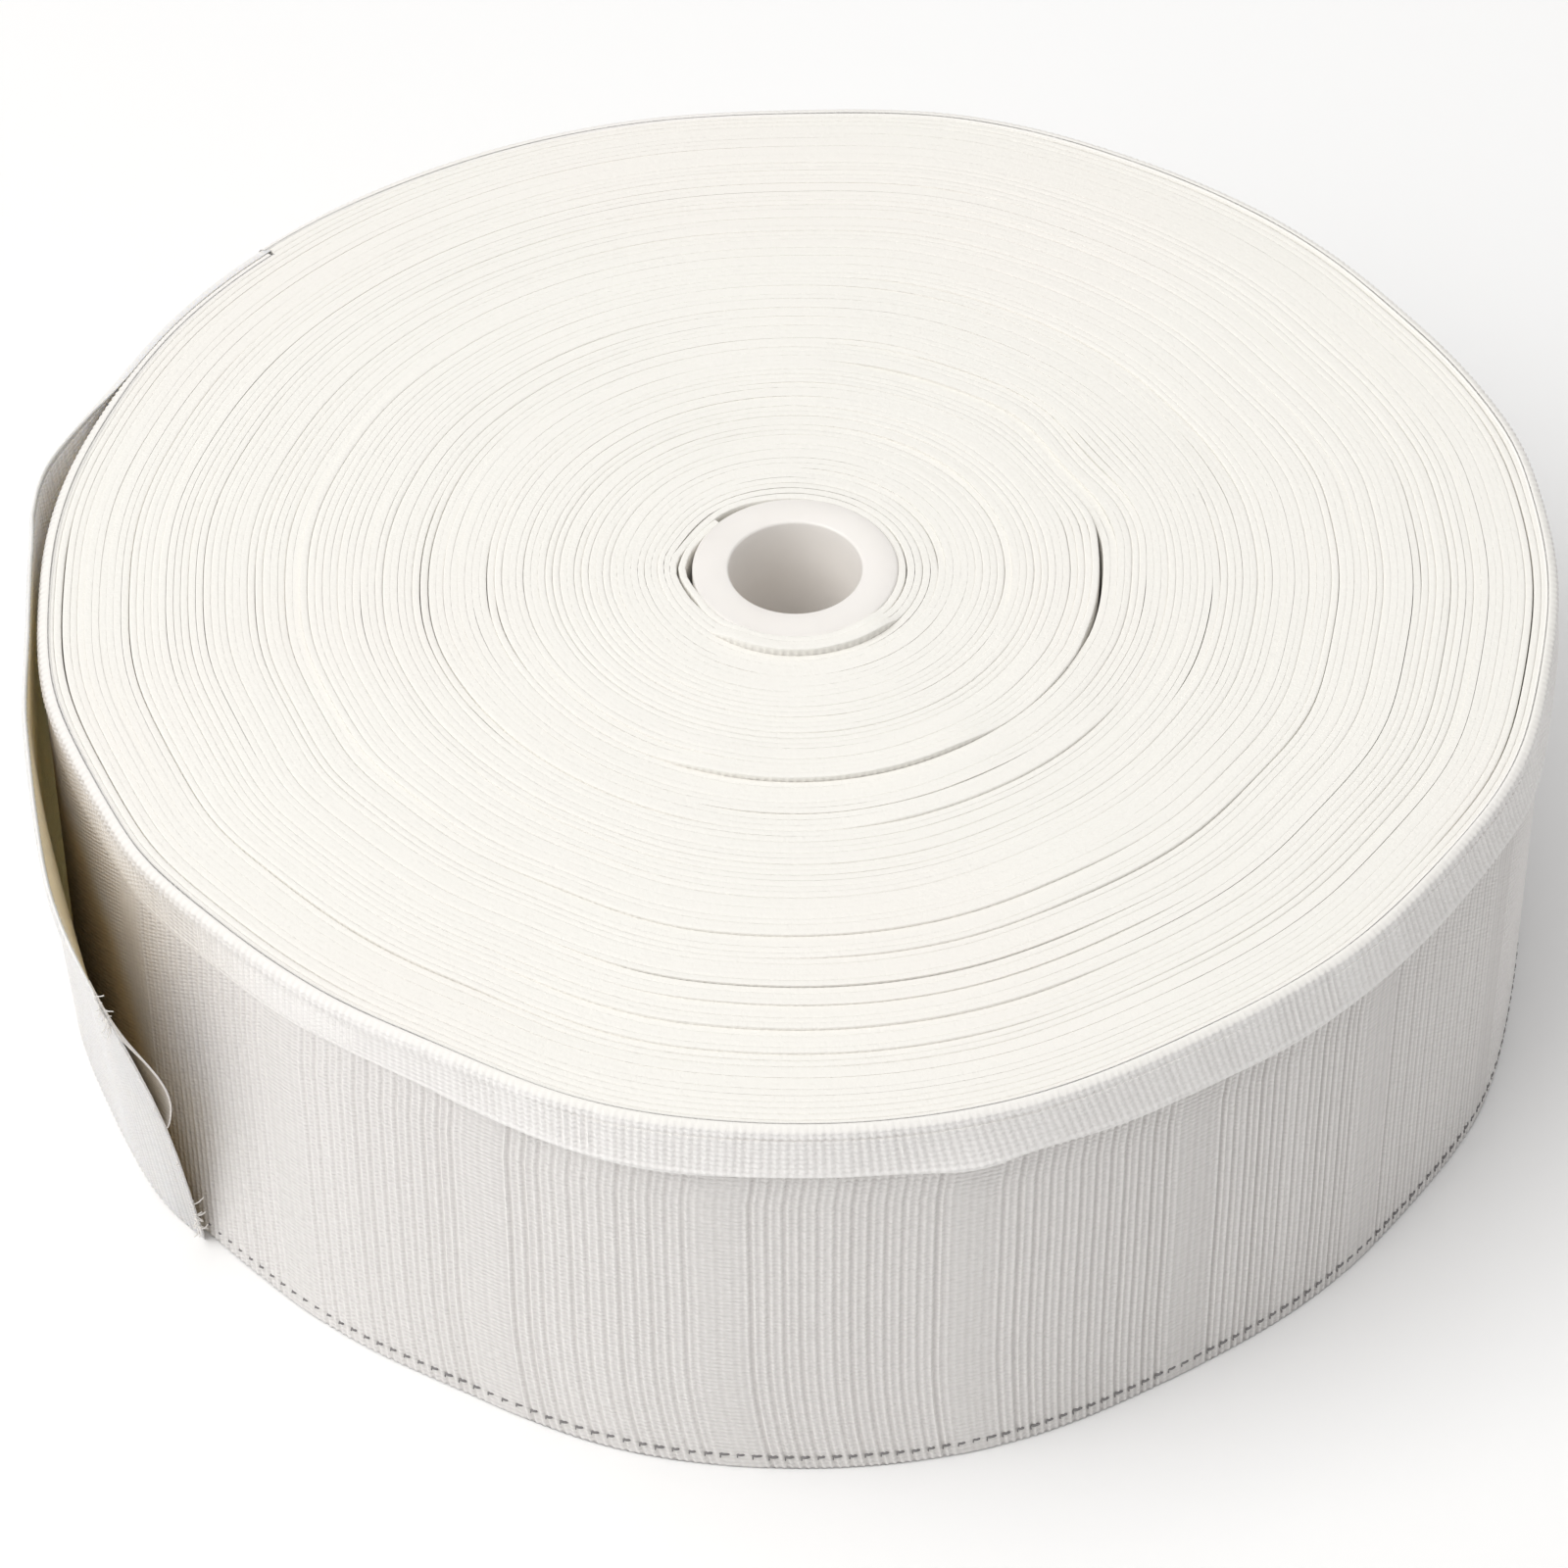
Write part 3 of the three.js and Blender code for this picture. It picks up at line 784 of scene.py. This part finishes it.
loose = {
    "columns": 561,
    "along": [0.00, 0.10, 0.22, 0.29, 0.36, 0.42, 0.48, 0.60, 0.70, 0.80, 0.90, 1.00],
    "bottomAngle": [138, 146.6, 156, 161.5, 167, 171.5, 176, 186, 194, 202, 210, 218],
    "topAngle": [138, 147, 157, 162.7, 168.5, 173.2, 178, 188, 196, 205, 213.4, 221.8],
    "bottomGap": [0.04, 0.15, 0.5, 0.7, 0.8, 0.8, 0.6, 0.35, 0.3, 0.55, 0.9, 1.0],
    "topGap": [0.03, 0.05, 0.35, 1.7, 3.4, 3.0, 1.8, 1.5, 3.9, 8.7, 14.2, 21.0],
    "thickness": 0.96,
    "tuck": 0.55,               # mm that its top edge lies over the fold at the root
    "top": 75.62,
    "length": 176.0,            # mm of tape
    "ribs": 140,
    "foldOut": 0.3,             # mm that the woven strip stands off its face
    "belly": 1.0,               # mm that it stands out at half its height, at the left
    "bellyAngle": 187.0,
    "bellySpread": 12.0,
    "bow": -1.0,                # the same for the stretch that stands free
    # where on its length each of these starts, and over what share of the length
    "freed": (0.6, 0.2),
    "untucked": (0.20, 0.12),
    "thinned": (0.93, 0.07),
    # where the painted shadow tint on the inner side starts, and where it stops just short of the cut
    "shadowTinted": (0.42, 0.15),
    "white": (0.985, 0.01),
    "innerRibs": (0.05, 0.15),
    "innerDepth": 0.7,          # share of the depth that the ribs on its inner side have
    "thinning": 0.6,            # share of its thickness that it loses at the cut
    "cutBow": 0.9,              # degrees that the cut bows at half its height
}


def looseColumn(name, along):
    rows = np.array(loose[name], float)
    stations = np.array(loose["along"])
    row = np.clip(np.searchsorted(stations, along, side="right") - 1, 0, len(rows) - 2)
    last = len(rows) - 1
    t = (along - stations[row]) / (stations[row + 1] - stations[row])
    return throughPoints(t, *(rows[np.clip(row + k, 0, last)] for k in (-1, 0, 1, 2)))


def looseSpot(along, height, out):
    # a place on the loose end: along 0 at its root to 1 at its cut, height in mm, out from its inner face
    share = height / roll["tapeWidth"]
    bow = loose["cutBow"] * np.sin(np.pi * share) * along**6
    low, high = looseColumn("bottomAngle", along), looseColumn("topAngle", along)
    angle = low + (high - low) * share + bow
    lowGap, highGap = looseColumn("bottomGap", along), looseColumn("topGap", along)
    gap = lowGap + (highGap - lowGap) * share
    arch = np.sin(np.pi * np.clip(share, 0, 1)) ** 1.5
    gap = gap + arch * (loose["belly"] * hump(angle, loose["bellyAngle"], loose["bellySpread"])
                        + loose["bow"] * rising(along, *loose["freed"]))
    return around(wallRadius(angle) + gap + out, angle)


def looseEnd():
    columns = loose["columns"]
    along = np.linspace(0, 1, columns)
    ribNumber = ribs["perTurn"] + np.linspace(0, loose["ribs"], columns)
    rib = ribHeight(ribNumber) * ribs["depth"]
    inner = -ribHeight(ribNumber + 0.5) * ribs["depth"] * loose["innerDepth"]
    width, foot, thick = loose["top"], pocket["foot"], loose["thickness"]
    fold = thick + loose["foldOut"]
    # rows run up the face, over the top and down the inner side: mm out, height, which side's ribs
    section = [(thick * 0.5, 0.0, 0)] + [(thick, z, 1) for z in (0.5, 6, 14, 24, 34, 44, 54, 62, foot - 0.1)]
    section += [(fold, foot, 1), (fold + 0.02, foot + 0.6, 1), (fold - 0.05, 72, 1), (thick, width - 1.2, 1),
                (thick * 0.7, width - 0.2, 0), (thick * 0.4, width, 0), (thick * 0.15, width - 0.2, 0)]
    section += [(0, z, -1) for z in (width - 1.0, 66, 56, 46, 36, 26, 16, 8, 0.5)] + [section[0]]
    outward, height, side = (np.array(part) for part in zip(*section))

    def place(column, row):
        here, up, outside, inside = along[column], height[row], side[row] > 0, side[row] < 0
        carve = np.where(outside, rib[column], np.where(inside, inner[column], 0))
        # the ribs fade in from the root, later on the inner side, which lies on the roll there
        start, over = loose["innerRibs"]
        carve = carve * smooth((here - start) / over + outside)
        thin = 1 - loose["thinning"] * rising(here, *loose["thinned"])
        # at the root the inner side of the top edge lies over the fold
        tucked = (1 - rising(here, *loose["untucked"])) * (up > width - 0.5) * (outward[row] < thick * 0.5)
        out = outward[row] * (1 - tucked) * thin - loose["tuck"] * tucked + carve
        x, y = looseSpot(here, up, out)
        u = ribNumber[column] * cloth["ribPitch"]
        v = up + inside * cloth["otherSide"]
        # painted shadow: the inner side is tinted brown for the shade between it and the roll
        shadowTint = inside * rising(here, *loose["shadowTinted"]) * (1 - rising(here, *loose["white"]))
        # painted shade in the rib grooves on both sides
        return x, y, up, u, v, shadowTint, -carve / ribs["depth"] * side[row]

    return layOut("loose_tape_end", columns, len(section), place)


looseTape = looseEnd()
dress(looseTape, looseCloth, "tape", "loose_end")
print("loose end", len(looseTape.data.polygons), "faces")


# At the cut, the inner layer of the tape bulges off the outer one

layer = {"from": 0.93, "to": 0.997, "columns": 41, "rows": 33, "low": 35.5, "high": 62.5, "bulge": 2.3,
         "thickness": 0.34, "inset": 0.12, "shadowTint": 0.25}


def pocketLayer():
    # the first rows run down its inner side, the others back up its outer side
    rows = 2 * layer["rows"] + 1
    share = np.concatenate([np.linspace(0, 1, layer["rows"]), np.linspace(1, 0, layer["rows"]), [0]])
    behind = np.concatenate([np.zeros(layer["rows"]), np.ones(layer["rows"]), [0]])
    along = np.linspace(layer["from"], layer["to"], layer["columns"])

    def place(column, row):
        opened = rising(along[column], layer["from"], 1 - layer["from"])
        arch = np.sin(np.pi * share[row] ** 1.5) ** 0.8
        height = layer["high"] + (layer["low"] - layer["high"]) * share[row]
        height = height + 0.5 * np.sin(7 * share[row]) * opened
        out = layer["inset"] - layer["bulge"] * arch * opened - layer["thickness"] * (1 - behind[row])
        x, y = looseSpot(along[column], height, out)
        u, v = along[column] * loose["length"], height + 2 * cloth["otherSide"]
        # its outer side gets a little painted shadow tint, for the shade it lies in
        return x, y, height, u, v, layer["shadowTint"] * behind[row], 0.0

    return layOut("pocket_layer", layer["columns"], rows, place)


layerPiece = pocketLayer()
dress(layerPiece, faceCloth, "tape")
print("pocket layer", len(layerPiece.data.polygons), "faces")


# Threads that have come out of the cut

fray = {
    "zones": [(66, 75, 26), (1, 12, 16), (12, 66, 18)],    # mm up, from and to, and how many threads
    "shortZone": (12, 66),      # between these heights the threads are short
    "shortShare": 0.4,
    "from": 0.992,
    "radius": 0.085,
    "steps": 6,
    "longest": 4.2,
    "shortest": 0.9,
    "loosest": 0.55,
    "inset": 0.15,
}


def frayedThreads():
    random = np.random.default_rng(17)
    data = bpy.data.curves.new("frayed_threads", "CURVE")
    data.dimensions = "3D"
    data.bevel_depth = fray["radius"] * mm
    data.bevel_resolution = 1
    data.use_fill_caps = True
    # most of them come out near the top corner and near the tip
    heights = np.concatenate([random.uniform(low, high, count) for low, high, count in fray["zones"]])
    low, high = fray["shortZone"]
    for height in heights:
        reach = random.uniform(fray["shortest"], fray["longest"])
        if low <= height <= high:
            reach *= fray["shortShare"]
        droop, lift = random.uniform(-fray["loosest"], fray["loosest"], 2)
        out = random.uniform(fray["inset"], loose["thickness"] - fray["inset"])
        spline = data.splines.new("POLY")
        spline.points.add(fray["steps"] - 1)
        for step, point in enumerate(spline.points):
            t = step / (fray["steps"] - 1)
            along = fray["from"] + t * reach / loose["length"]
            level = height + droop * reach * t * t
            x, y = looseSpot(np.float64(along), np.float64(level), out + lift * reach * t * t)
            point.co = (*(np.array([x + axisPoint.x, y + axisPoint.y, max(level, 0.2)]) * mm), 1)
    holder = newPiece("frayed_curve", data)
    bpy.context.view_layer.update()
    mesh = bpy.data.meshes.new_from_object(holder.evaluated_get(bpy.context.evaluated_depsgraph_get()))
    bpy.data.objects.remove(holder)
    mesh.name = "frayed_threads"
    return newPiece("frayed_threads", mesh)


frayPiece = frayedThreads()
dress(frayPiece, whiteThread, "tape")
print("frayed threads", len(frayPiece.data.polygons), "faces")


# The core, turned from its section

core = {"radius": 16.02, "top": 75.6, "lip": 0.45, "edge": 0.5, "steps": 160, "bevelSteps": 4}


def coreTube():
    bm = bmesh.new()
    low, high = coreLow.z / mm, core["top"]
    bore, radius = roll["boreRadius"], core["radius"]
    corners = [(bore, low), (radius, low), (radius, high), (bore, high)]
    verts = [bm.verts.new((out, 0, z)) for out, z in corners]
    section = bm.faces.new(verts)
    rounded = [vert for vert in verts if vert.co.z > low + 1]
    bmesh.ops.bevel(bm, geom=rounded, offset=core["lip"], offset_type="OFFSET", segments=core["bevelSteps"],
                    profile=0.5, affect="VERTICES", material=-1)
    feet = [vert for vert in bm.verts if vert.co.z < low + 0.01]
    bmesh.ops.bevel(bm, geom=feet, offset=core["edge"], offset_type="OFFSET", segments=2, profile=0.5,
                    affect="VERTICES", material=-1)
    outline = list(bm.edges)
    bmesh.ops.delete(bm, geom=list(bm.faces), context="FACES_ONLY")
    bmesh.ops.spin(bm, geom=outline + list(bm.verts), cent=(0, 0, 0), axis=(0, 0, 1), angle=2 * math.pi,
                   steps=core["steps"], use_merge=True)
    bmesh.ops.remove_doubles(bm, verts=bm.verts, dist=1e-4)
    bmesh.ops.recalc_face_normals(bm, faces=bm.faces)
    return turnedPiece("core_liner", bm)


corePiece = coreTube()
dress(corePiece, corePlastic, "core", "core_tube")
print("core", len(corePiece.data.polygons), "faces")


# Grey marker thread, which shows as dashes near the foot of the tape

marker = {
    "perTurn": 300,
    "height": 2.3,
    "wander": 0.35,                 # mm that the row rises towards this angle, and falls at the back
    "wanderTo": 255,
    "uneven": (0.12, 0.18),         # mm up or down, and share of its size, from one dash to the next
    "size": (1.45, 0.46, 0.56),     # mm along, out and up
    "legSize": (0.24, 0.30, 0.70),
    "legBack": 0.62,                # the thread turns down at the left of each dash; this dark leg is partly painted shadow of the slot between weft loops
    "legDown": 0.48,
    "sunk": 0.05,
    "segments": 8,
    "rings": 5,
    "faint": 0.45,                  # the dashes are of this size up to the first of these angles
    "faintTo": 212.0,
    "fullFrom": 250.0,
}


def markerThread():
    bm = bmesh.new()
    random = np.random.default_rng(5)
    ball = bmesh.new()
    bmesh.ops.create_uvsphere(ball, u_segments=marker["segments"], v_segments=marker["rings"], radius=1)
    bead = meshFrom("bead", ball)

    def knot(angle, height, size, back):
        radius = float(wallRadius(angle)) - marker["sunk"]
        turned = math.radians(float(angle + ribLean(angle, np.float64(height)) - np.degrees(back / radius)))
        shape = Matrix.Diagonal([part / 2 for part in size] + [1])
        shift = Matrix.Translation((radius * math.cos(turned), radius * math.sin(turned), height))
        laid = shift @ Matrix.Rotation(turned + math.pi / 2, 4, "Z") @ shape
        bead.transform(laid)
        bm.from_mesh(bead)
        bead.transform(laid.inverted())

    unevenHeight, unevenSize = marker["uneven"]
    fade = marker["fullFrom"] - marker["faintTo"]
    for count in range(marker["perTurn"]):
        angle = np.float64(roll["seamAngle"] + 360 * (count + 0.5) / marker["perTurn"])
        height = marker["height"] + marker["wander"] * math.cos(math.radians(angle - marker["wanderTo"]))
        height += unevenHeight * random.uniform(-1, 1)
        shown = marker["faint"] + (1 - marker["faint"]) * float(rising(angle, marker["faintTo"], fade))
        shown *= 1 + unevenSize * random.uniform(-1, 1)
        length, out, tall = marker["size"]
        knot(angle, height, (length * shown, out, tall * (0.6 + 0.4 * shown)), 0)
        # the leg: a small dark bead, partly thread and partly painted shadow of the slot below the dash
        length, out, tall = marker["legSize"]
        knot(angle, height - marker["legDown"] * shown, (length, out * (0.7 + 0.3 * shown), tall * shown),
             marker["legBack"] * shown)
    return turnedPiece("marker_thread", bm)


markerPiece = markerThread()
dress(markerPiece, markerGrey, "tape")
print("marker thread", len(markerPiece.data.polygons), "faces")


# Floor, light and camera

ground = {
    "reach": 6,                 # m from the middle to each side
    "below": 0.0002,
    "look": {"Base Color": (0.96, 0.96, 0.96, 1), "Roughness": 0.9, "Specular IOR Level": 0.1},
}


def stageFloor():
    bm = bmesh.new()
    bmesh.ops.create_grid(bm, x_segments=1, y_segments=1, size=ground["reach"])
    bmesh.ops.translate(bm, verts=bm.verts, vec=(0, 0, -ground["below"]))
    mesh = meshFrom("floor", bm)
    floor = newPiece("floor", mesh)
    mesh.materials.append(Finish("pale_floor", ground["look"]).material)


keyLight = {
    "angle": 200.0,             # from the left and a little to the front
    "height": 71.0,             # degrees above the floor
    "distance": 2.4,            # m
    "size": 2.4,
    "power": 23.6,
    "colour": (1.0, 0.99, 0.975),
    "aim": (0, 0, 0.05),
}
fillLight = dict(keyLight, angle=210.0, height=47.0, size=2.0, power=26.8)
backLight = dict(keyLight, angle=38.0, height=50.0, size=1.6, power=4.5)
skyStrength = 0.43


def softbox(name, light):
    lamp = bpy.data.lights.new(name, "AREA")
    lamp.shape = "SQUARE"
    lamp.size = light["size"]
    lamp.energy = light["power"]
    lamp.color = light["colour"]
    holder = newPiece(name, lamp)
    angle, height = math.radians(light["angle"]), math.radians(light["height"])
    across = math.cos(height)
    towards = Vector((math.cos(angle) * across, math.sin(angle) * across, math.sin(height)))
    holder.location = Vector(light["aim"]) + towards * light["distance"]
    holder.rotation_euler = towards.to_track_quat("Z", "Y").to_euler()


camera = {
    "back": 5.927,              # roll radii in front of the core's axis
    "up": 6.080,                # roll radii above the floor
    "pitch": 44.56,
    "yaw": -0.16,
    "turn": -0.30,
    "focal": 6147.0,            # in pixels of a frame 1600 across
    "frameWidth": 1600.0,
    "sensor": 36.0,
}


def photoCamera():
    pitch, yaw, turn = (math.radians(camera[name]) for name in ("pitch", "yaw", "turn"))
    ahead = Vector((math.sin(yaw) * math.cos(pitch), math.cos(yaw) * math.cos(pitch), -math.sin(pitch)))
    right = Vector((math.cos(yaw), -math.sin(yaw), 0))
    up = right.cross(ahead)
    sideways = math.cos(turn) * right + math.sin(turn) * up
    upward = -math.sin(turn) * right + math.cos(turn) * up
    lens = bpy.data.cameras.new("photo_camera")
    lens.sensor_width = camera["sensor"]
    lens.lens = camera["focal"] / camera["frameWidth"] * camera["sensor"]
    lens.clip_end = 50
    holder = newPiece("photo_camera", lens)
    back, height = camera["back"] * roll["radius"], camera["up"] * roll["radius"]
    spot = Vector((axisPoint.x, axisPoint.y - back, height)) * mm
    turned = Matrix((sideways, upward, -ahead)).transposed().to_4x4()
    holder.matrix_world = Matrix.Translation(spot) @ turned
    bpy.context.scene.camera = holder


def softWorld():
    world = bpy.data.worlds.new("soft_world")
    bpy.context.scene.world = world
    world.use_nodes = True
    sky = world.node_tree.nodes["Background"]
    sky.inputs["Color"].default_value = (1.0, 1.0, 1.0, 1)
    sky.inputs["Strength"].default_value = skyStrength


stageFloor()
softWorld()
softbox("key", keyLight)
softbox("fill", fillLight)
softbox("back", backLight)
photoCamera()
